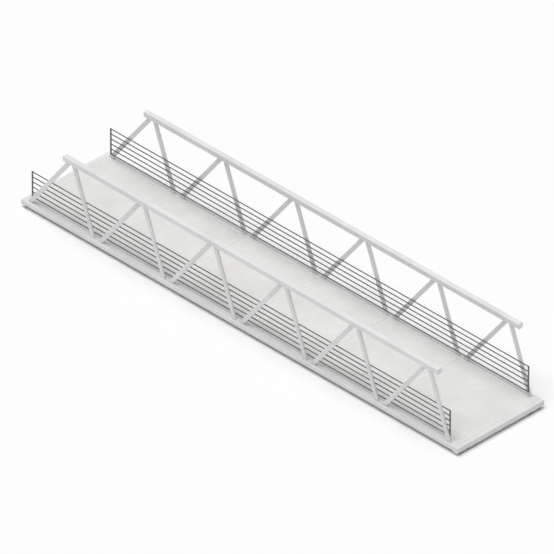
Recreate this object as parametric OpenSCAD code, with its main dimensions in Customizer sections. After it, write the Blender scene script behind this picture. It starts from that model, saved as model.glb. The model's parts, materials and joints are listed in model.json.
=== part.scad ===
// Steel pedestrian bridge: two side trusses, a concrete deck on cross beams, and bar rails.
// X runs along the bridge, Y across it and Z up. The origin is on the ground, at the middle.

/* [Bridge] */
// Number of truss bays
bay_count = 6; // [3:1:9]
// Length of one bay
bay_l = 1700; // [1400:10:2200]
// Width over the outer faces of the trusses
bridge_w = 2050; // [1500:10:3200]
// Height of the truss above the deck
guard_h = 1350; // [1000:10:1800]
// From the left end of the deck to the first panel point
lead_l = 70; // [60:5:300]
// From the last panel point to the right end of the deck
tail_l = 180; // [160:5:400]

/* [Top chord] */
// Width and depth of the square tube
top_w = 100; // [80:5:150]
// Wall of the tube
top_t = 5; // [3:0.5:8]
// Chord past the first peak of the web
top_lead = 175; // [140:5:400]
// Chord past the last peak of the web
top_tail = 280; // [140:5:400]
// Thickness of the plates that close the ends
cap_t = 6; // [3:0.5:12]

/* [Bottom chord] */
// Width of the tube
chord_w = 140; // [80:5:180]
// Depth of the tube
chord_h = 80; // [60:5:120]
// Wall of the tube
chord_t = 5; // [3:0.5:8]

/* [Web] */
// Distance from a panel point to the next peak, along the bridge
peak_x = 1105; // [700:5:1250]
// Depth of a diagonal, in the plane of the truss
web_h = 80; // [50:5:100]
// Width of a diagonal, across the truss
web_w = 40; // [30:5:80]
// Wall of a diagonal
web_t = 4; // [3:0.5:6]
// Gap between two diagonals at the top chord
toe_gap = 10; // [2:1:30]
// Gap between the feet of two diagonals on the bottom chord
foot_gap = 85; // [5:5:120]

/* [Floor] */
// Width and depth of the end beams
end_h = 100; // [90:5:140]
// Wall of the end beams
end_t = 5; // [3:0.5:8]
// Depth of a floor beam
floor_h = 80; // [60:5:90]
// Width of a floor beam
floor_w = 60; // [40:5:100]
// Wall of a floor beam
floor_t = 5; // [3:0.5:8]
// Thickness of the plate on the end of a floor beam
end_plate_t = 8; // [5:1:12]
// Thickness of the gusset under the chord
gusset_t = 10; // [6:1:15]
// Reach of the gusset under the chord
gusset_l = 50; // [30:5:70]
// Width and depth of a stringer
string_w = 50; // [40:5:50]
// Wall of a stringer
string_t = 4; // [3:0.5:6]
// Distance between the two lines of stringers
string_gap = 620; // [400:10:1000]

/* [Deck] */
// Thickness of the deck, with its pan
deck_t = 50; // [50:5:70]
// Depth of the ribs of the pan
rib_h = 20; // [10:1:30]
// Nearest distance from one rib to the next
rib_pitch = 154; // [100:1:200]
// Run of the slope on each side of a rib
rib_slope = 15; // [8:1:20]
// Thickness of the sheet of the pan
pan_t = 1.5; // [1:0.1:3]
// Length of the leg of the edge angle under the pan
angle_w = 40; // [30:1:60]
// Depth of the edge angle
angle_h = 30; // [20:1:30]
// Thickness of the edge angle
angle_t = 5; // [3:0.5:6]

/* [Rails] */
// Number of bars on each side
rail_count = 6; // [3:1:9]
// Diameter of a bar
rail_d = 20; // [12:1:30]
// Distance from one bar to the next
rail_pitch = 102; // [80:1:110]
// Height of the lowest bar above the deck
rail_z = 90; // [50:1:150]
// From the left end of the deck to the rails
rail_lead = 170; // [120:5:400]
// From the right end of the deck to the rails
rail_tail = 265; // [120:5:400]

/* [Bearings] */
// Length of a base plate, across the bridge
base_l = 260; // [200:5:400]
// Width of a base plate, along the bridge
base_w = 80; // [70:5:90]
// Thickness of a base plate
base_t = 20; // [12:1:40]
// Height of the block on the plate
block_h = 30; // [25:1:100]
// Length of the block, across the bridge
block_l = 110; // [80:5:120]
// Width of the block, along the bridge
block_w = 60; // [40:5:70]
// Distance between the two anchor holes
anchor_gap = 190; // [165:5:220]
// Diameter of an anchor hole
anchor_d = 22; // [14:1:30]
// From the outer face of the truss to the plate
base_inset = 60; // [0:5:300]

/* [Hidden] */
$fn = 48;

FRONT = -1;
REAR = 1;
LEFT = -1;
RIGHT = 1;

bridge_l = lead_l + bay_count * bay_l + tail_l;
left_x = -bridge_l / 2;
right_x = bridge_l / 2;
deck_z = base_t + block_h + end_h;
truss_y = bridge_w / 2 - chord_w / 2;
clear_w = bridge_w - 2 * chord_w;
clear_h = guard_h - top_w;
floor_z = deck_z - deck_t;
inner_l = bridge_l - 2 * end_h;
rail_y = truss_y - web_w / 2 - rail_d / 2;

// Panel point number i, from 0 at the left end
function panel_x(i) = left_x + lead_l + i * bay_l;

// Angle of a tube of depth h whose toes lie run apart between two flat faces
function lean(run, h) = atan2(clear_h, run) + asin(h / norm([run, clear_h]));

// Edges of the floor beam at panel point i, where 0 and bay_count stand for the end beams
function beam_left(i) = i == bay_count ? right_x - end_h : panel_x(i) - floor_w / 2;
function beam_right(i) = i == 0 ? left_x + end_h : panel_x(i) + floor_w / 2;

module rounded(w, h, r) {
    union() {
        square([w - 2 * r, h], center = true);
        square([w, h - 2 * r], center = true);
        for (x = [-1, 1], y = [-1, 1])
            translate([x * (w / 2 - r), y * (h / 2 - r)]) circle(r);
    }
}

module tube_section(w, h, t) {
    difference() {
        rounded(w, h, 2 * t);
        rounded(w - 2 * t, h - 2 * t, t);
    }
}

// Hollow section along X from the origin, w across and h deep, centred on its axis
module tube(l, w, h, t) {
    rotate([90, 0, 90]) linear_extrude(l) tube_section(w, h, t);
}

// Solid whose outline in Y and Z runs along X
module bar_along(l) {
    rotate([90, 0, 90]) linear_extrude(l) children();
}

// Trusses

module top_chord(side) {
    start = panel_x(0) + peak_x - top_lead + cap_t;
    end = panel_x(bay_count - 1) + peak_x + top_tail - cap_t;
    color("whitesmoke")
        translate([start, side * truss_y, deck_z + guard_h - top_w / 2]) tube(end - start, top_w, top_w, top_t);
}

module top_chord_caps() {
    start = panel_x(0) + peak_x - top_lead;
    end = panel_x(bay_count - 1) + peak_x + top_tail - cap_t;
    color("whitesmoke")
        for (x = [start, end], side = [FRONT, REAR])
            translate([x, side * truss_y, deck_z + guard_h - top_w / 2])
                bar_along(cap_t) rounded(top_w, top_w, 2 * top_t);
}

module bottom_chord(side) {
    color("whitesmoke")
        translate([left_x + end_h, side * truss_y, deck_z - chord_h / 2]) tube(inner_l, chord_w, chord_h, chord_t);
}

// Diagonal that leans by angle and has its lower toe at x; way is 1 to rise to the right
module diagonal(x, side, angle, way) {
    foot = web_h / sin(angle);
    spare = 2 * web_h;
    turn = way > 0 ? angle : 180 - angle;
    intersection() {
        translate([x + way * foot / 2, side * truss_y, deck_z]) rotate([0, -turn, 0])
            translate([-spare, 0, 0]) tube(clear_h / sin(angle) + 2 * spare, web_w, web_h, web_t);
        translate([x - bay_l, side * truss_y - web_w, deck_z]) cube([2 * bay_l, 2 * web_w, clear_h]);
    }
}

// The two diagonals of bay i, which meet at the top chord
module web(i, side) {
    rise = peak_x - (toe_gap + foot_gap) / 2;
    fall = bay_l - peak_x - (toe_gap + foot_gap) / 2;
    color("white") {
        diagonal(panel_x(i) + foot_gap / 2, side, lean(rise, web_h), 1);
        diagonal(panel_x(i + 1) - foot_gap / 2, side, lean(fall, web_h), -1);
    }
}

// Floor

module end_beam(end) {
    l = bridge_w - 2 * cap_t;
    color("whitesmoke")
        translate([end * (right_x - end_h / 2), -l / 2, deck_z - end_h / 2])
            rotate([0, 0, 90]) tube(l, end_h, end_h, end_t);
}

module end_beam_caps() {
    color("whitesmoke")
        for (end = [LEFT, RIGHT], side = [FRONT, REAR])
            translate([end * (right_x - end_h / 2), side * (bridge_w - cap_t) / 2 - cap_t / 2, deck_z - end_h / 2])
                rotate([0, 0, 90]) bar_along(cap_t) rounded(end_h, end_h, 2 * end_t);
}

module floor_beam(i) {
    l = clear_w - 2 * end_plate_t;
    color("gainsboro")
        translate([panel_x(i), -l / 2, floor_z - floor_h / 2])
            rotate([0, 0, 90]) tube(l, floor_w, floor_h, floor_t);
}

// End plate of a floor beam with the gusset that carries it under the chord
module beam_bracket(i, side) {
    drop = floor_z - floor_h;
    seat = deck_z - chord_h;
    toe = gusset_t;
    inner = clear_w / 2;
    translate([panel_x(i), 0, 0]) mirror([0, side > 0 ? 0 : 1, 0]) {
        translate([-floor_w / 2, inner - end_plate_t, drop]) cube([floor_w, end_plate_t, floor_h]);
        translate([-gusset_t / 2, 0, 0]) bar_along(gusset_t)
            polygon([
                [inner - end_plate_t / 2, drop], [inner + toe, drop], [inner + gusset_l, seat - toe],
                [inner + gusset_l, seat], [inner, seat], [inner - end_plate_t / 2, seat]
            ]);
    }
}

module beam_brackets() {
    color("gainsboro")
        for (i = [1 : bay_count - 1], side = [FRONT, REAR]) beam_bracket(i, side);
}

module stringers() {
    color("gainsboro")
        for (i = [1 : bay_count], side = [FRONT, REAR])
            translate([beam_right(i - 1), side * string_gap / 2, floor_z - string_w / 2])
                tube(beam_left(i) - beam_right(i - 1), string_w, string_w, string_t);
}

// Line of the pan across the deck, with a half flat at each edge
function rib_line(z) =
    let (count = round(clear_w / rib_pitch), pitch = clear_w / count, low = pitch / 4 - rib_slope / 2)
    [for (i = [0 : count - 1]) let (y = i * pitch - clear_w / 2)
        each [
            [y, z], [y + low, z], [y + low + rib_slope, z + rib_h],
            [y + pitch - low - rib_slope, z + rib_h], [y + pitch - low, z], [y + pitch, z]
        ]];

function backwards(list) = [for (i = [len(list) - 1 : -1 : 0]) list[i]];

module deck_slab() {
    color("gainsboro")
        translate([left_x + end_h, 0, 0]) bar_along(inner_l)
            polygon(concat([[clear_w / 2, deck_z], [-clear_w / 2, deck_z]], rib_line(floor_z + pan_t)));
}

module deck_pan() {
    color("silver")
        translate([left_x + end_h, 0, 0]) bar_along(inner_l)
            polygon(concat(rib_line(floor_z), backwards(rib_line(floor_z + pan_t))));
}

// Angles along the inner face of the chord, which carry the edge of the pan between the beams
module edge_angle(side) {
    color("gainsboro")
        for (i = [1 : bay_count])
            translate([beam_right(i - 1), 0, floor_z]) mirror([0, side > 0 ? 0 : 1, 0])
                bar_along(beam_left(i) - beam_right(i - 1)) {
                    translate([clear_w / 2 - angle_w, -angle_t]) square([angle_w, angle_t]);
                    translate([clear_w / 2 - angle_t, -angle_h]) square([angle_t, angle_h]);
                }
}

// Rails

module safety_rails(side) {
    l = bridge_l - rail_lead - rail_tail - 2 * rail_d;
    color("lightsteelblue")
        for (i = [0 : rail_count - 1])
            translate([left_x + rail_lead + rail_d, side * rail_y, deck_z + rail_z + i * rail_pitch])
                rotate([0, 90, 0]) cylinder(h = l, d = rail_d);
}

// Square bars that the rails end on
module rail_end_bars(side) {
    l = (rail_count - 1) * rail_pitch + rail_d;
    color("lightsteelblue")
        for (x = [left_x + rail_lead, right_x - rail_tail - rail_d])
            translate([x, side * rail_y - rail_d / 2, deck_z + rail_z - rail_d / 2]) cube([rail_d, rail_d, l]);
}

// Bearings

module bearing(end, side) {
    x = end * (right_x - end_h / 2);
    y = side * (bridge_w / 2 - base_inset - base_l / 2);
    color("darkgray")
        translate([x, y, 0]) difference() {
            union() {
                translate([-base_w / 2, -base_l / 2, 0]) cube([base_w, base_l, base_t]);
                translate([-block_w / 2, -block_l / 2, base_t]) cube([block_w, block_l, block_h]);
            }
            for (hole = [-1, 1])
                translate([0, hole * anchor_gap / 2, -1]) cylinder(h = base_t + 2, d = anchor_d);
        }
}

top_chord(FRONT);  // top_chord_front
top_chord(REAR);  // top_chord_rear
top_chord_caps();
bottom_chord(FRONT);  // bottom_chord_front
bottom_chord(REAR);  // bottom_chord_rear
for (i = [1 : bay_count]) {
    web(i - 1, FRONT);
    web(i - 1, REAR);
}
end_beam(LEFT);  // end_beam_left
end_beam(RIGHT);  // end_beam_right
end_beam_caps();
for (i = [1 : bay_count - 1])
    floor_beam(i);
beam_brackets();
stringers();
deck_slab();
deck_pan();
edge_angle(FRONT);  // edge_angle_front
edge_angle(REAR);  // edge_angle_rear
safety_rails(FRONT);  // safety_rails_front
safety_rails(REAR);  // safety_rails_rear
rail_end_bars(FRONT);  // rail_end_bars_front
rail_end_bars(REAR);  // rail_end_bars_rear
bearing(LEFT, FRONT);  // bearing_front_left
bearing(RIGHT, FRONT);  // bearing_front_right
bearing(LEFT, REAR);  // bearing_rear_left
bearing(RIGHT, REAR);  // bearing_rear_right
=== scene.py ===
import json
import math

import bmesh
import bpy
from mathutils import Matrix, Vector


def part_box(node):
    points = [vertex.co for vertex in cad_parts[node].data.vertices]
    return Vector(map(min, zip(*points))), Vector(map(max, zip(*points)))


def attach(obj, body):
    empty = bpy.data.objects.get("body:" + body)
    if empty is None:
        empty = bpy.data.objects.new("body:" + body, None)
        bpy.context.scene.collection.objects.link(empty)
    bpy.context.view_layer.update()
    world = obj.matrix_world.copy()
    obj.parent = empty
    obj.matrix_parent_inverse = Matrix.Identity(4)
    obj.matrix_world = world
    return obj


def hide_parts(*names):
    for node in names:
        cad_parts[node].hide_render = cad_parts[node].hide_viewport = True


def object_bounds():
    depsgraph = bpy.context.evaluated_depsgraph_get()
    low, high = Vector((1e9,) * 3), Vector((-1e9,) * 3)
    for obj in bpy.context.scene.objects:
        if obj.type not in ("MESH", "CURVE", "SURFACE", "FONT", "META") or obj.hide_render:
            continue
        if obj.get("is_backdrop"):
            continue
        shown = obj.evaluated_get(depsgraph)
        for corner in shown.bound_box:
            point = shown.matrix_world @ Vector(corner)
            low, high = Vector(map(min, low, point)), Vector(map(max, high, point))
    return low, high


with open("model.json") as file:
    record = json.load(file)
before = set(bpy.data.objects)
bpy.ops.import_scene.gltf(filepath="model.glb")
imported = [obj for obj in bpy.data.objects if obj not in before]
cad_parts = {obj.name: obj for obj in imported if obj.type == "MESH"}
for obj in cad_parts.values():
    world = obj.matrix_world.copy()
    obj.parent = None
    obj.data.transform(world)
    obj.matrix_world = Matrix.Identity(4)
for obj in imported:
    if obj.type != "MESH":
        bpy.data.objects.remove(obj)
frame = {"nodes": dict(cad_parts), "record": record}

low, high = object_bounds()
nodes = frame["nodes"]
sides = ("front", "rear")
bays = len([name for name in nodes if name.startswith("web_front_")])
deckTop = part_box("deck_slab")[1].z
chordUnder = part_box("top_chord_front")[0].z   # where the diagonals meet the top chord
print("frame loaded:", len(nodes), "nodes,", bays, "bays")

camera = {
    "azimuth": 45.4,
    "elevation": 34.26,
    "lens": 1600.0,          # long enough that parallel edges stay parallel
    "sensor": 36.0,
    "width": 9.327,          # metres across the frame at the target
    "aim": (-0.519, 0.417),  # the point of the deck in the middle of the frame
}


def makeCamera(s):
    a, e = math.radians(s["azimuth"]), math.radians(s["elevation"])
    back = Vector((math.sin(a) * math.cos(e), -math.cos(a) * math.cos(e), math.sin(e)))
    data = bpy.data.cameras.new("camera")
    data.lens = s["lens"]
    data.sensor_width = s["sensor"]
    distance = s["width"] * s["lens"] / s["sensor"]
    data.clip_start = distance / 2     # well in front of the bridge and well behind it
    data.clip_end = distance * 2
    cam = bpy.data.objects.new("camera", data)
    cam.rotation_mode = "QUATERNION"
    cam.location = Vector((*s["aim"], deckTop)) + back * distance
    cam.rotation_quaternion = (-back).to_track_quat("-Z", "Y")
    bpy.context.scene.collection.objects.link(cam)
    bpy.context.scene.camera = cam


light = {
    "sun": 2.05,
    "sunFrom": (-0.15, -0.14, 0.97),
    "sunAngle": 42.0,               # degrees across, for soft shadows
    "sky": 0.37,                    # what the sky gives to the bridge
    "skyColour": (1.0, 1.0, 1.0),
    "background": (1.0, 1.0, 1.0),  # what is seen behind it and in its gloss
}


def makeLight(s):
    data = bpy.data.lights.new("sun", "SUN")
    data.energy = s["sun"]
    data.angle = math.radians(s["sunAngle"])
    sun = bpy.data.objects.new("sun", data)
    sun.rotation_mode = "QUATERNION"
    sun.rotation_quaternion = Vector(s["sunFrom"]).to_track_quat("Z", "Y")
    bpy.context.scene.collection.objects.link(sun)

    world = bpy.data.worlds.new("studio")
    bpy.context.scene.world = world
    world.use_nodes = True
    tree = world.node_tree
    tree.nodes.clear()
    out = tree.nodes.new("ShaderNodeOutputWorld")
    sky = tree.nodes.new("ShaderNodeBackground")
    sky.inputs["Color"].default_value = (*s["skyColour"], 1)
    sky.inputs["Strength"].default_value = s["sky"]
    plain = tree.nodes.new("ShaderNodeBackground")
    plain.inputs["Color"].default_value = (*s["background"], 1)
    path = tree.nodes.new("ShaderNodeLightPath")
    seen = maths(tree, "MAXIMUM", path.outputs["Is Camera Ray"], path.outputs["Is Glossy Ray"])
    seen = maths(tree, "MAXIMUM", seen, path.outputs["Is Transmission Ray"])
    mix = tree.nodes.new("ShaderNodeMixShader")
    tree.links.new(seen, mix.inputs[0])
    tree.links.new(sky.outputs[0], mix.inputs[1])
    tree.links.new(plain.outputs[0], mix.inputs[2])
    tree.links.new(mix.outputs[0], out.inputs["Surface"])


studioFloor = {
    "size": 120.0,
    "colour": (0.97, 0.97, 0.97),
    "rough": 0.9,
    "shine": 0.1,
}


def makeFloor(s):
    mesh = bpy.data.meshes.new("floor")
    h = s["size"] / 2
    mesh.from_pydata([(-h, -h, 0), (h, -h, 0), (h, h, 0), (-h, h, 0)], [], [(0, 1, 2, 3)])
    floor = bpy.data.objects.new("floor", mesh)
    bpy.context.scene.collection.objects.link(floor)
    mat, tree, shader = newMaterial("floorWhite")
    shader.inputs["Base Color"].default_value = (*s["colour"], 1)
    shader.inputs["Roughness"].default_value = s["rough"]
    shader.inputs["Specular IOR Level"].default_value = s["shine"]
    # from below it is clear to the camera, so that the underside of the deck can be seen
    clear = tree.nodes.new("ShaderNodeBsdfTransparent")
    geometry = tree.nodes.new("ShaderNodeNewGeometry")
    path = tree.nodes.new("ShaderNodeLightPath")
    fromBelow = maths(tree, "MULTIPLY", geometry.outputs["Backfacing"], path.outputs["Is Camera Ray"])
    mix = tree.nodes.new("ShaderNodeMixShader")
    tree.links.new(fromBelow, mix.inputs[0])
    tree.links.new(shader.outputs[0], mix.inputs[1])
    tree.links.new(clear.outputs[0], mix.inputs[2])
    tree.links.new(mix.outputs[0], tree.nodes["Material Output"].inputs["Surface"])
    mesh.materials.append(mat)
    floor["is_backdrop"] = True


def newMaterial(name):
    mat = bpy.data.materials.new(name)
    mat.use_nodes = True
    tree = mat.node_tree
    return mat, tree, tree.nodes["Principled BSDF"]


def objectCoords(tree, scale=(1, 1, 1)):
    coord = tree.nodes.new("ShaderNodeTexCoord")
    mapping = tree.nodes.new("ShaderNodeMapping")
    mapping.inputs["Scale"].default_value = scale
    tree.links.new(coord.outputs["Object"], mapping.inputs["Vector"])
    return mapping.outputs["Vector"]


def noise(tree, vector, scale, detail, rough):
    tex = tree.nodes.new("ShaderNodeTexNoise")
    tex.inputs["Scale"].default_value = scale
    tex.inputs["Detail"].default_value = detail
    tex.inputs["Roughness"].default_value = rough
    tree.links.new(vector, tex.inputs["Vector"])
    return tex.outputs["Fac"]


def ramp(tree, value, span, to=(0.0, 1.0)):
    # a value that runs over the span becomes one that runs over the other, and stops at its ends
    node = tree.nodes.new("ShaderNodeMapRange")
    node.inputs["From Min"].default_value = span[0]
    node.inputs["From Max"].default_value = span[1]
    node.inputs["To Min"].default_value = to[0]
    node.inputs["To Max"].default_value = to[1]
    tree.links.new(value, node.inputs["Value"])
    return node.outputs["Result"]


def maths(tree, how, a, b):
    # a and b are numbers or outputs of other nodes
    node = tree.nodes.new("ShaderNodeMath")
    node.operation = how
    for socket, value in zip(node.inputs, (a, b)):
        if isinstance(value, (int, float)):
            socket.default_value = value
        else:
            tree.links.new(value, socket)
    return node.outputs[0]


def mixColour(tree, amount, a, b):
    node = tree.nodes.new("ShaderNodeMix")
    node.data_type = "RGBA"
    tree.links.new(amount, node.inputs[0])
    for socket, value in ((node.inputs[6], a), (node.inputs[7], b)):   # the two colour sockets
        if isinstance(value, tuple):
            socket.default_value = (*value, 1)
        else:
            tree.links.new(value, socket)
    return node.outputs[2]


def bump(tree, shader, layers):
    # each layer is a height, a strength and a distance in metres
    normal = None
    for height, strength, distance in layers:
        node = tree.nodes.new("ShaderNodeBump")
        node.inputs["Strength"].default_value = strength
        node.inputs["Distance"].default_value = distance
        tree.links.new(height, node.inputs["Height"])
        if normal:
            tree.links.new(normal, node.inputs["Normal"])
        normal = node.outputs["Normal"]
    tree.links.new(normal, shader.inputs["Normal"])


def edgeMask(tree, radius, samples, span):
    # 1 along sharp edges, where the rounded normal leaves the face's own
    rounded = tree.nodes.new("ShaderNodeBevel")
    rounded.samples = samples
    rounded.inputs["Radius"].default_value = radius
    geometry = tree.nodes.new("ShaderNodeNewGeometry")
    dot = tree.nodes.new("ShaderNodeVectorMath")
    dot.operation = "DOT_PRODUCT"
    tree.links.new(rounded.outputs["Normal"], dot.inputs[0])
    tree.links.new(geometry.outputs["Normal"], dot.inputs[1])
    return ramp(tree, dot.outputs["Value"], span)


def cornerShade(tree, distance, samples, span):
    # 1 deep in an inner corner
    node = tree.nodes.new("ShaderNodeAmbientOcclusion")
    node.samples = samples
    node.inputs["Distance"].default_value = distance
    return ramp(tree, node.outputs["AO"], span)


# in each paint, grime is the colour of the rain-streak dirt and also of the painted shade in inner corners
trussPaint = {
    "colour": (0.79, 0.80, 0.795),
    "chalk": (0.73, 0.74, 0.73),
    "grimeAndCornerShade": (0.40, 0.39, 0.36),
    "worn": (0.55, 0.56, 0.55),
    "rough": (0.32, 0.48),
    "peel": 0.12,            # strength of the orange peel
}
floorPaint = {
    "colour": (0.62, 0.63, 0.63),
    "chalk": (0.56, 0.57, 0.57),
    "grimeAndCornerShade": (0.30, 0.29, 0.27),
    "worn": (0.45, 0.45, 0.44),
    "rough": (0.40, 0.58),
    "peel": 0.15,
}
railPaint = {
    "colour": (0.085, 0.09, 0.095),
    "chalk": (0.11, 0.115, 0.12),
    "grimeAndCornerShade": (0.05, 0.05, 0.05),
    "worn": (0.30, 0.31, 0.32),
    "rough": (0.30, 0.42),
    "peel": 0.08,
}
bearingZinc = {
    "colour": (0.40, 0.41, 0.42),
    "chalk": (0.47, 0.48, 0.49),
    "grimeAndCornerShade": (0.24, 0.23, 0.21),
    "worn": (0.58, 0.59, 0.60),
    "rough": (0.42, 0.6),
    "peel": 0.2,
}
# these settings also hold the painted shade: inner corners darkened by ambient occlusion
paintWearAndShade = {
    "patches": (1.7, 3, 0.5),        # each pattern's waves to the metre, detail and roughness
    "patchSpan": (0.35, 0.65),       # and the values between which it fades in
    "streaks": (38.0, 4, 0.6),
    "streakSpan": (0.52, 0.74),
    "streakStretch": (1, 1, 0.08),   # rain streaks are drawn out along Z
    "streakDepth": 0.13,
    "corners": (22.0, 4, 0.5),
    "cornerSpan": (0.3, 0.7),
    "cornerDirtAndShade": (0.2, 0.6),       # how far dirt and painted shade darken the inner corners
    "cornerShade": (0.025, 6, (0.95, 0.45)),   # metres out from the corner, samples, shade
    "chips": (46.0, 5, 0.65),
    "chipSpan": (0.52, 0.6),
    "chipEdge": (0.003, 4, (0.995, 0.9)),      # metres along a sharp edge, samples, turn
    "gloss": (9.0, 3, 0.5),
    "glossSpan": (0.3, 0.7),
    "peel": (420.0, 2, 0.5),
    "peelHeight": 0.0006,
    "ripple": (12.0, 2, 0.5),
    "rippleStrength": 0.1,
    "rippleHeight": 0.002,
    "coat": 0.15,
    "coatRough": 0.25,
}


def paintedSteel(name, s):
    w = paintWearAndShade
    mat, tree, shader = newMaterial(name)
    at = objectCoords(tree)
    streakAt = objectCoords(tree, w["streakStretch"])
    patches = ramp(tree, noise(tree, at, *w["patches"]), w["patchSpan"])
    colour = mixColour(tree, patches, s["colour"], s["chalk"])
    streaks = ramp(tree, noise(tree, streakAt, *w["streaks"]), w["streakSpan"], (0, w["streakDepth"]))
    # painted shade: inner corners and the faces around the rails are darkened by ambient occlusion, broken
    # up by patchy dirt; the rain streaks are real dirt; both take the grime colour
    uneven = ramp(tree, noise(tree, at, *w["corners"]), w["cornerSpan"], w["cornerDirtAndShade"])
    corners = maths(tree, "MULTIPLY", cornerShade(tree, *w["cornerShade"]), uneven)
    colour = mixColour(tree, maths(tree, "MAXIMUM", corners, streaks), colour, s["grimeAndCornerShade"])
    flaked = ramp(tree, noise(tree, at, *w["chips"]), w["chipSpan"])
    chips = maths(tree, "MULTIPLY", edgeMask(tree, *w["chipEdge"]), flaked)
    colour = mixColour(tree, chips, colour, s["worn"])
    tree.links.new(colour, shader.inputs["Base Color"])
    rough = ramp(tree, noise(tree, at, *w["gloss"]), w["glossSpan"], s["rough"])
    tree.links.new(rough, shader.inputs["Roughness"])
    shader.inputs["Coat Weight"].default_value = w["coat"]
    shader.inputs["Coat Roughness"].default_value = w["coatRough"]
    bump(tree, shader, [
        (noise(tree, at, *w["peel"]), s["peel"], w["peelHeight"]),
        (noise(tree, at, *w["ripple"]), w["rippleStrength"], w["rippleHeight"]),
    ])
    return mat


zincSheet = {
    "light": (0.66, 0.68, 0.70),
    "dark": (0.50, 0.52, 0.54),
    "spangle": 70.0,         # crystals to the metre
    "patches": (3.0, 3, 0.5),
    "patchSpan": (0.3, 0.7),
    "patchDepth": (0.4, 1.0),
    "rough": (0.34, 0.55),
    "metal": 0.85,
    "relief": 0.05,
    "reliefHeight": 0.001,
}


def galvanised(name, s):
    mat, tree, shader = newMaterial(name)
    at = objectCoords(tree)
    cells = tree.nodes.new("ShaderNodeTexVoronoi")
    cells.inputs["Scale"].default_value = s["spangle"]
    tree.links.new(at, cells.inputs["Vector"])
    grey = tree.nodes.new("ShaderNodeRGBToBW")
    tree.links.new(cells.outputs["Color"], grey.inputs[0])
    patches = ramp(tree, noise(tree, at, *s["patches"]), s["patchSpan"], s["patchDepth"])
    blend = maths(tree, "MULTIPLY", grey.outputs[0], patches)
    tree.links.new(mixColour(tree, blend, s["light"], s["dark"]), shader.inputs["Base Color"])
    tree.links.new(ramp(tree, grey.outputs[0], (0, 1), s["rough"]), shader.inputs["Roughness"])
    shader.inputs["Metallic"].default_value = s["metal"]
    bump(tree, shader, [(grey.outputs[0], s["relief"], s["reliefHeight"])])
    return mat


deckConcrete = {
    "colour": (0.74, 0.735, 0.715),
    "pale": (0.82, 0.815, 0.80),
    "sand": (0.58, 0.56, 0.53),
    "clouds": (1.3, 5, 0.6),         # each pattern's waves to the metre, detail and roughness
    "cloudSpan": (0.35, 0.65),       # and the values between which it fades in
    "grains": (380.0, 3, 0.7),
    "grainSpan": (0.60, 0.72),
    "grainDepth": 0.55,
    "pits": (300.0, 3, 0.5),
    "pitStrength": 0.25,
    "pitHeight": 0.001,
    "grooves": (250.0, 3, 0.6),      # what the broom leaves, 4 mm apart
    "grooveStretch": (1, 0.03, 1),   # and drawn out along Y
    "grooveSpan": (0.4, 0.75),
    "grooveDepth": 0.35,
    "grooveStrength": 0.7,
    "grooveHeight": 0.0015,
    "gloss": (40.0, 3, 0.5),
    "glossSpan": (0.3, 0.7),
    "broomedRough": (0.82, 0.95),
    "trowelledRough": (0.6, 0.78),
    "shine": 0.3,
}


def concrete(name, s, broomed):
    mat, tree, shader = newMaterial(name)
    at = objectCoords(tree)
    clouds = ramp(tree, noise(tree, at, *s["clouds"]), s["cloudSpan"])
    colour = mixColour(tree, clouds, s["colour"], s["pale"])
    grains = ramp(tree, noise(tree, at, *s["grains"]), s["grainSpan"], (0, s["grainDepth"]))
    colour = mixColour(tree, grains, colour, s["sand"])
    layers = [(noise(tree, at, *s["pits"]), s["pitStrength"], s["pitHeight"])]
    if broomed:
        lines = noise(tree, objectCoords(tree, s["grooveStretch"]), *s["grooves"])
        grooves = ramp(tree, lines, s["grooveSpan"], (0, s["grooveDepth"]))
        colour = mixColour(tree, grooves, colour, s["sand"])
        layers.insert(0, (lines, s["grooveStrength"], s["grooveHeight"]))
    tree.links.new(colour, shader.inputs["Base Color"])
    rough = s["broomedRough"] if broomed else s["trowelledRough"]
    gloss = ramp(tree, noise(tree, at, *s["gloss"]), s["glossSpan"], rough)
    tree.links.new(gloss, shader.inputs["Roughness"])
    shader.inputs["Specular IOR Level"].default_value = s["shine"]
    bump(tree, shader, layers)
    return mat


deckFiller = {
    "colour": (0.50, 0.49, 0.47),
    "pale": (0.57, 0.56, 0.54),
    "patches": (30.0, 3, 0.5),
    "patchSpan": (0.3, 0.7),
    "wrinkles": (90.0, 3, 0.5),
    "wrinkleStrength": 0.25,
    "wrinkleHeight": 0.001,
    "rough": 0.62,
}


def sealant(name, s):
    mat, tree, shader = newMaterial(name)
    at = objectCoords(tree)
    patches = ramp(tree, noise(tree, at, *s["patches"]), s["patchSpan"])
    tree.links.new(mixColour(tree, patches, s["colour"], s["pale"]), shader.inputs["Base Color"])
    shader.inputs["Roughness"].default_value = s["rough"]
    bump(tree, shader, [(noise(tree, at, *s["wrinkles"]), s["wrinkleStrength"], s["wrinkleHeight"])])
    return mat


finishes = {
    "truss_paint": paintedSteel("trussPaint", trussPaint),
    "floor_paint": paintedSteel("floorPaint", floorPaint),
    "rail_paint": paintedSteel("railPaint", railPaint),
    "galvanised_sheet": galvanised("zincSheet", zincSheet),
    "concrete": concrete("trowelledConcrete", deckConcrete, False),
    "bearing_steel": paintedSteel("bearingZinc", bearingZinc),
}
broomedConcrete = concrete("broomedConcrete", deckConcrete, True)
jointSealant = sealant("jointSealant", deckFiller)

for part in frame["record"]["subparts"]:
    cadMesh = nodes[part["node"]].data
    cadMesh.materials.clear()
    cadMesh.materials.append(finishes[part["material_slot"]])
print("finishes set:", len(finishes), "and the deck's own two")

samePoint = 1e-5         # metres within which two corners are one
onPlane = 2e-4           # metres within which a corner lies on a plane


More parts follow.
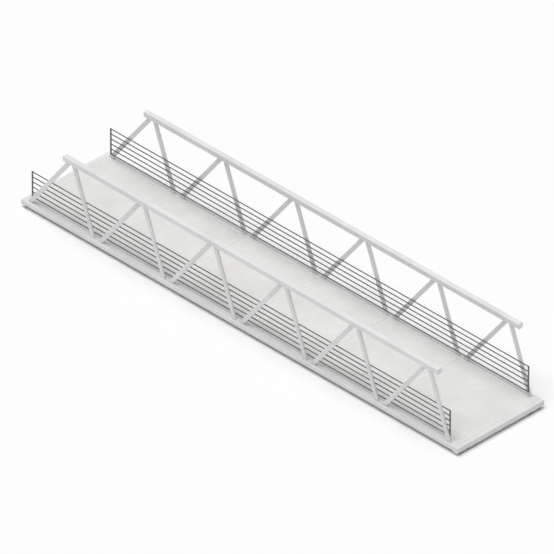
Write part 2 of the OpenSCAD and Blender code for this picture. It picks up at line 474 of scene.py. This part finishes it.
def islands(node):
    # corner points of each solid in a CAD node
    bm = bmesh.new()
    bm.from_mesh(nodes[node].data)
    bmesh.ops.remove_doubles(bm, verts=bm.verts, dist=samePoint)
    place = nodes[node].matrix_world
    reached = set()
    found = []
    for first in bm.verts:
        if first in reached:
            continue
        reached.add(first)
        stack = [first]
        group = []
        while stack:
            v = stack.pop()
            group.append(place @ v.co)
            for edge in v.link_edges:
                other = edge.other_vert(v)
                if other not in reached:
                    reached.add(other)
                    stack.append(other)
        found.append(group)
    bm.free()
    return found


def outline(points, axis, value):
    # convex loop of the points that lie on a plane, anticlockwise seen from the axis's positive end
    u, v = (axis + 1) % 3, (axis + 2) % 3
    flat = sorted({(round(p[u], 5), round(p[v], 5)) for p in points if abs(p[axis] - value) < onPlane})

    def turn(a, b, c):
        # above zero where a path from a by b to c turns left
        return (b[0] - a[0]) * (c[1] - a[1]) - (b[1] - a[1]) * (c[0] - a[0])

    def half(ordered):
        chain = []
        for q in ordered:
            while len(chain) > 1 and turn(chain[-2], chain[-1], q) <= 1e-9:    # or goes straight on
                chain.pop()
            chain.append(q)
        return chain[:-1]

    made = []
    for a, b in half(flat) + half(flat[::-1]):
        p = Vector((0, 0, 0))
        p[axis], p[u], p[v] = value, a, b
        made.append(p)
    return made


def grown(loop, axis, out, along):
    # the same loop, moved outwards in its plane and along its axis
    u, v = (axis + 1) % 3, (axis + 2) % 3
    made = []
    for i, p in enumerate(loop):
        before = (p - loop[i - 1]).normalized()
        after = (loop[(i + 1) % len(loop)] - p).normalized()
        way = before + after
        side = Vector((0, 0, 0))
        side[u], side[v] = way[v], -way[u]
        q = p + side.normalized() * out
        q[axis] += along
        made.append(q)
    return made


def spread(points):
    # lowest and highest value on each axis
    return [(min(p[k] for p in points), max(p[k] for p in points)) for k in range(3)]


def middle(span):
    return (span[0] + span[1]) / 2


def beadTree():
    # sweeps a round bead along every edge path, with the ripples of a hand weld
    tree = bpy.data.node_groups.new("weldBead", "GeometryNodeTree")
    face = tree.interface
    face.new_socket("Paths", in_out="INPUT", socket_type="NodeSocketGeometry")
    for label, kind, value in (("Radius", "Float", 0.004), ("Ripple length", "Float", 0.006),
                               ("Ripple depth", "Float", 0.16), ("Step", "Float", 0.003),
                               ("Wander", "Float", 0.2), ("Wander scale", "Float", 60.0),
                               ("Sides", "Int", 6), ("Seed", "Float", 3.0)):
        face.new_socket(label, in_out="INPUT", socket_type="NodeSocket" + kind).default_value = value
    face.new_socket("Finish", in_out="INPUT", socket_type="NodeSocketMaterial")
    face.new_socket("Beads", in_out="OUTPUT", socket_type="NodeSocketGeometry")
    start = tree.nodes.new("NodeGroupInput")
    end = tree.nodes.new("NodeGroupOutput")

    def add(kind, mode=None, **wires):
        # a node with its mode set first, because its inputs depend on it
        node = tree.nodes.new(kind)
        if mode:
            setattr(node, *mode)
        for label, source in wires.items():
            socket = node.inputs[label.replace("_", " ")]
            if isinstance(source, (int, float, bool)):
                socket.default_value = source
            else:
                tree.links.new(source, socket)
        return node

    curve = add("GeometryNodeMeshToCurve", Mesh=start.outputs["Paths"])
    fine = add("GeometryNodeResampleCurve", ("mode", "LENGTH"), Curve=curve.outputs["Curve"],
               Length=start.outputs["Step"])
    along = tree.nodes.new("GeometryNodeSplineParameter").outputs["Length"]
    ripples = maths(tree, "DIVIDE", along, start.outputs["Ripple length"])
    wave = maths(tree, "SINE", maths(tree, "MULTIPLY", ripples, 2 * math.pi), 0)
    ripple = maths(tree, "MULTIPLY", wave, start.outputs["Ripple depth"])
    place = tree.nodes.new("GeometryNodeInputPosition").outputs[0]
    wander = add("ShaderNodeTexNoise", ("noise_dimensions", "4D"), Vector=place,
                 Scale=start.outputs["Wander scale"], W=start.outputs["Seed"])
    centred = maths(tree, "SUBTRACT", wander.outputs["Fac"], 0.5)
    drift = maths(tree, "MULTIPLY", centred, start.outputs["Wander"])
    size = maths(tree, "ADD", maths(tree, "ADD", ripple, drift), 1.0)
    ring = add("GeometryNodeCurvePrimitiveCircle", Resolution=start.outputs["Sides"],
               Radius=start.outputs["Radius"])
    swept = add("GeometryNodeCurveToMesh", Curve=fine.outputs["Curve"], Profile_Curve=ring.outputs["Curve"],
                Scale=size, Fill_Caps=True)
    smooth = add("GeometryNodeSetShadeSmooth", Geometry=swept.outputs["Mesh"])
    real = add("GeometryNodeRealizeInstances", Geometry=smooth.outputs["Geometry"])
    done = add("GeometryNodeSetMaterial", Geometry=real.outputs["Geometry"],
               Material=start.outputs["Finish"])
    tree.links.new(done.outputs["Geometry"], end.inputs["Beads"])
    return tree


weldBead = beadTree()


def sweep(name, paths, settings, finish):
    # paths are lists of points; a closed one repeats its first point at the end
    points = []
    edges = []
    for path in paths:
        first = len(points)
        isLoop = (path[0] - path[-1]).length < samePoint
        corners = path[:-1] if isLoop else path
        points += [tuple(p) for p in corners]
        edges += [(first + i, first + i + 1) for i in range(len(corners) - 1)]
        if isLoop:
            edges.append((first + len(corners) - 1, first))
    mesh = bpy.data.meshes.new(name + "Paths")
    mesh.from_pydata(points, edges, [])
    guide = bpy.data.objects.new(name + "Paths", mesh)
    bpy.context.scene.collection.objects.link(guide)
    beads = guide.modifiers.new("beads", "NODES")
    beads.node_group = weldBead
    sockets = {i.name: i.identifier for i in weldBead.interface.items_tree if i.in_out == "INPUT"}
    for label, value in {**settings, "Finish": finish}.items():
        beads[sockets[label]] = value
    made = bpy.data.meshes.new_from_object(guide.evaluated_get(bpy.context.evaluated_depsgraph_get()))
    made.name = name
    piece = bpy.data.objects.new(name, made)
    bpy.context.scene.collection.objects.link(piece)
    bpy.data.objects.remove(guide)
    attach(piece, "root")
    print(f"{name}: {len(paths)} paths, {len(made.polygons)} faces")


def closed(loop):
    return loop + [loop[0]]


beadStand = 0.35         # how far a bead's middle stands off the corner it fills, in its own radius
webWeld = {"Radius": 0.0045, "Ripple length": 0.007, "Ripple depth": 0.16, "Step": 0.0035, "Sides": 6}


def webWelds(side):
    # round the foot and the head of each diagonal
    paths = []
    lift = webWeld["Radius"] * beadStand
    for i in range(1, bays + 1):
        for diagonal in islands(f"web_{side}_{i}"):
            paths.append(closed(grown(outline(diagonal, 2, deckTop), 2, lift, lift)))
            paths.append(closed(grown(outline(diagonal, 2, chordUnder), 2, lift, -lift)))
    sweep(f"webWelds{side.capitalize()}", paths, webWeld, finishes["truss_paint"])


endWeld = {"Radius": 0.0045, "Ripple length": 0.008, "Ripple depth": 0.14, "Step": 0.004, "Sides": 6}
endFit = {
    "out": 0.8,          # past the chord's end, in the bead's radius
    "short": 0.009,      # metres kept clear at both ends of a bead
}


def endWelds():
    # fills the groove where each bottom chord meets the round corner of an end beam
    paths = []
    radius = endWeld["Radius"]
    z = deckTop - radius
    for side in sides:
        a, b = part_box(f"bottom_chord_{side}")
        for x in (a.x - radius * endFit["out"], b.x + radius * endFit["out"]):
            paths.append([Vector((x, a.y + endFit["short"], z)), Vector((x, b.y - endFit["short"], z))])
    sweep("endWelds", paths, endWeld, finishes["truss_paint"])


railWeld = {"Radius": 0.0032, "Ripple length": 0.006, "Ripple depth": 0.2, "Step": 0.004, "Sides": 5}
railFit = {
    "height": 0.8,       # of a bead over and under a bar's middle, in the bar's radius
    "back": 0.74,        # from the bar's middle towards the diagonal, in the bar's radius
    "short": 0.004,      # metres kept clear at both ends of a bead
    "ringProud": 0.0005,
    "ringInset": 0.0012,
    "ringCorners": 12,
}


def railWelds(side):
    # one bead above and one below each bar where it lies on a diagonal
    s = railFit
    way = -1 if side == "front" else 1
    rise = chordUnder - deckTop
    bars = [spread(bar) for bar in islands(f"safety_rails_{side}")]
    paths = []
    for i in range(1, bays + 1):
        for diagonal in islands(f"web_{side}_{i}"):
            foot = spread(outline(diagonal, 2, deckTop))[0]
            head = spread(outline(diagonal, 2, chordUnder))[0]
            for bar in bars:
                radius = (bar[2][1] - bar[2][0]) / 2
                y = middle(bar[1]) + way * radius * s["back"]
                z = middle(bar[2])
                a, b = [foot[k] + (head[k] - foot[k]) * (z - deckTop) / rise for k in (0, 1)]
                for off in (-radius * s["height"], radius * s["height"]):
                    lean = (head[0] - foot[0]) / rise * off
                    paths.append([Vector((a + lean + s["short"], y, z + off)),
                                  Vector((b + lean - s["short"], y, z + off))])
    sweep(f"railWelds{side.capitalize()}", paths, railWeld, finishes["truss_paint"])

    # and a ring at each end of a bar
    rings = []
    for bar in bars:
        radius = (bar[2][1] - bar[2][0]) / 2 + s["ringProud"]
        for x in bar[0]:
            ring = []
            for k in range(s["ringCorners"]):
                a = k * 2 * math.pi / s["ringCorners"]
                ring.append(Vector((x - math.copysign(s["ringInset"], x),
                                    middle(bar[1]) + radius * math.cos(a),
                                    middle(bar[2]) + radius * math.sin(a))))
            rings.append(closed(ring))
    sweep(f"railEndWelds{side.capitalize()}", rings, railWeld, finishes["rail_paint"])


def kept(path, allowed):
    # the stretches of a path whose points are allowed
    runs = []
    run = []
    for p in path:
        if allowed(p):
            run.append(p)
        elif run:
            runs.append(run)
            run = []
    return [r for r in runs + [run] if len(r) > 1]


def split(path, step):
    # the same path with more points on it
    fine = []
    for a, b in zip(path, path[1:]):
        count = max(1, round((b - a).length / step))
        fine += [a.lerp(b, k / count) for k in range(count)]
    return fine + [path[-1]]


floorWeld = {"Radius": 0.004, "Ripple length": 0.007, "Ripple depth": 0.18, "Step": 0.0045, "Sides": 5}
floorFit = {
    "step": 0.01,          # metres between the places where a bead may stop
    "depth": 0.052,        # beads start this far under the top of the deck
    "sideClear": 0.012,    # and the outer faces of the bridge stay clean
    "gussetHalf": 0.005,   # half of a gusset's thickness
    "gussetToe": 0.006,    # a bead stops this far over the gusset's lower end
    "stitch": 0.05,        # length of a stitch under the edge angles
    "stitchPitch": 0.3,
    "stitchDrop": 0.0005,
}


def floorWelds():
    s = floorFit
    lift = floorWeld["Radius"] * beadStand
    under = deckTop - s["depth"]
    clean = high.y - s["sideClear"]
    paths = []

    def ends(node, axis, allowed):
        # round both ends of each member, as far as a bead is allowed there
        for solid in islands(node):
            for place, along in zip(spread(solid)[axis], (lift, -lift)):
                loop = closed(grown(outline(solid, axis, place), axis, lift, along))
                paths.extend(kept(split(loop, s["step"]), allowed))

    for side in sides:
        ends(f"bottom_chord_{side}", 0, lambda p: abs(p.y) < clean and p.z < under)
    ends("stringers", 0, lambda p: p.z < under)
    for i in range(1, bays):
        ends(f"floor_beam_{i}", 1, lambda p: p.z < under)

    # on both faces of each gusset, under the chord and down its inner face
    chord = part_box("bottom_chord_rear")
    top = chord[0].z - lift
    for solid in islands("beam_brackets"):
        xs, ys, zs = spread(solid)
        way = 1 if ys[1] > 0 else -1
        outer = way * max(abs(y) for y in ys)
        inner = way * (chord[0].y + lift)
        plate = s["gussetHalf"] + lift
        for x in (middle(xs) - plate, middle(xs) + plate):
            paths.append([Vector((x, outer, top)), Vector((x, inner, top)),
                          Vector((x, inner, zs[0] + s["gussetToe"]))])

    # stitches along the edge angles
    for side in sides:
        for solid in islands(f"edge_angle_{side}"):
            xs, ys, zs = spread(solid)
            y = max(ys, key=abs)
            z = zs[0] - s["stitchDrop"]
            count = int((xs[1] - xs[0]) / s["stitchPitch"])
            gap = (xs[1] - xs[0]) / count
            for k in range(count):
                x = xs[0] + (k + 0.5) * gap
                paths.append([Vector((x - s["stitch"] / 2, y, z)), Vector((x + s["stitch"] / 2, y, z))])
    sweep("floorWelds", paths, floorWeld, finishes["floor_paint"])


def bearingWelds():
    # round the block, at the base plate and under the beam
    lift = floorWeld["Radius"] * beadStand
    paths = []
    for node in [name for name in nodes if name.startswith("bearing_")]:
        solid = islands(node)[0]
        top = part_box(node)[1].z
        seat = sorted({round(p.z, 4) for p in solid})[1]       # the top of the base plate
        block = outline(solid, 2, top)
        paths.append(closed(grown(block, 2, lift, -lift)))
        paths.append([p - Vector((0, 0, top - seat)) for p in closed(grown(block, 2, lift, lift))])
    sweep("bearingWelds", paths, floorWeld, finishes["bearing_steel"])


deck = {
    "joint": 0.005,      # width of the gap between two panels
    "tooled": 0.006,     # radius of the tooled edges
    "toolSteps": 4,
    "border": 0.055,     # smooth band round each panel
    "filler": 0.003,     # how far the joint filler lies below the top
    "skin": 0.001,       # what lies less far down counts as the top
    "level": 0.999,      # and what faces up this much
}


def deckPanels(s):
    # the slab's own section, with the ribs under it, cut into panels by joints over the floor beams
    a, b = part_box("deck_slab")
    end = [p for p in islands("deck_slab")[0] if abs(p.x - a.x) < onPlane]
    under = sorted({(round(p.y, 5), round(p.z, 5)) for p in end if p.z < b.z - s["skin"]})
    section = [(a.y, b.z)] + under + [(b.y, b.z)]
    joints = [middle([corner.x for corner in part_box(f"floor_beam_{i}")]) for i in range(1, bays)]
    starts = [a.x] + [x + s["joint"] / 2 for x in joints]
    ends = [x - s["joint"] / 2 for x in joints] + [b.x]
    bm = bmesh.new()
    for x0, x1 in zip(starts, ends):
        near, far = ([bm.verts.new((x, y, z)) for y, z in section] for x in (x0, x1))
        bm.faces.new(near)
        bm.faces.new(far[::-1])
        for k in range(len(section)):
            bm.faces.new((near[k - 1], near[k], far[k], far[k - 1]))
    bmesh.ops.recalc_face_normals(bm, faces=bm.faces)

    def tops():
        level = [f for f in bm.faces if f.normal.z > s["level"]]
        return [f for f in level if f.calc_center_median().z > b.z - s["skin"]]

    bmesh.ops.bevel(bm, geom=[e for f in tops() for e in f.edges], offset=s["tooled"],
                    segments=s["toolSteps"], profile=0.5, affect="EDGES")
    bm.normal_update()
    panels = tops()
    for face in panels:
        bmesh.ops.inset_individual(bm, faces=[face], thickness=s["border"])
        face.material_index = 1
    mesh = bpy.data.meshes.new("deckPanels")
    bm.to_mesh(mesh)
    bm.free()
    mesh.materials.append(finishes["concrete"])
    mesh.materials.append(broomedConcrete)
    piece = bpy.data.objects.new("deckPanels", mesh)
    bpy.context.scene.collection.objects.link(piece)
    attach(piece, "root")
    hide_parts("deck_slab")
    print("deckPanels:", len(panels), "panels")
    return joints


seal = {"Radius": 0.0052, "Ripple depth": 0.0, "Step": 0.08, "Wander": 0.06, "Sides": 8}
sealFit = {
    "low": 0.0006,       # metres from the top of the deck down to the bead
    "out": 0.002,        # and from the slab's side out to its middle
}


def deckSealant(joints):
    # in the groove between the slab and the round corners of the tubes, and low in each joint
    a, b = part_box("deck_slab")
    out = sealFit["out"]
    x0, x1 = a.x - out, b.x + out
    y0, y1 = a.y - out, b.y + out
    z = b.z - seal["Radius"] - sealFit["low"]
    paths = [closed([Vector((x0, y0, z)), Vector((x1, y0, z)), Vector((x1, y1, z)), Vector((x0, y1, z))])]
    z -= deck["filler"]
    for x in joints:
        paths.append([Vector((x, a.y, z)), Vector((x, b.y, z))])
    sweep("deckSealant", paths, seal, jointSealant)


for side in sides:
    webWelds(side)
    railWelds(side)
endWelds()
floorWelds()
bearingWelds()
deckSealant(deckPanels(deck))

makeCamera(camera)
makeLight(light)
makeFloor(studioFloor)
print("camera, light and floor made")

bpy.context.scene.view_settings.view_transform = "Standard"
low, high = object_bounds()
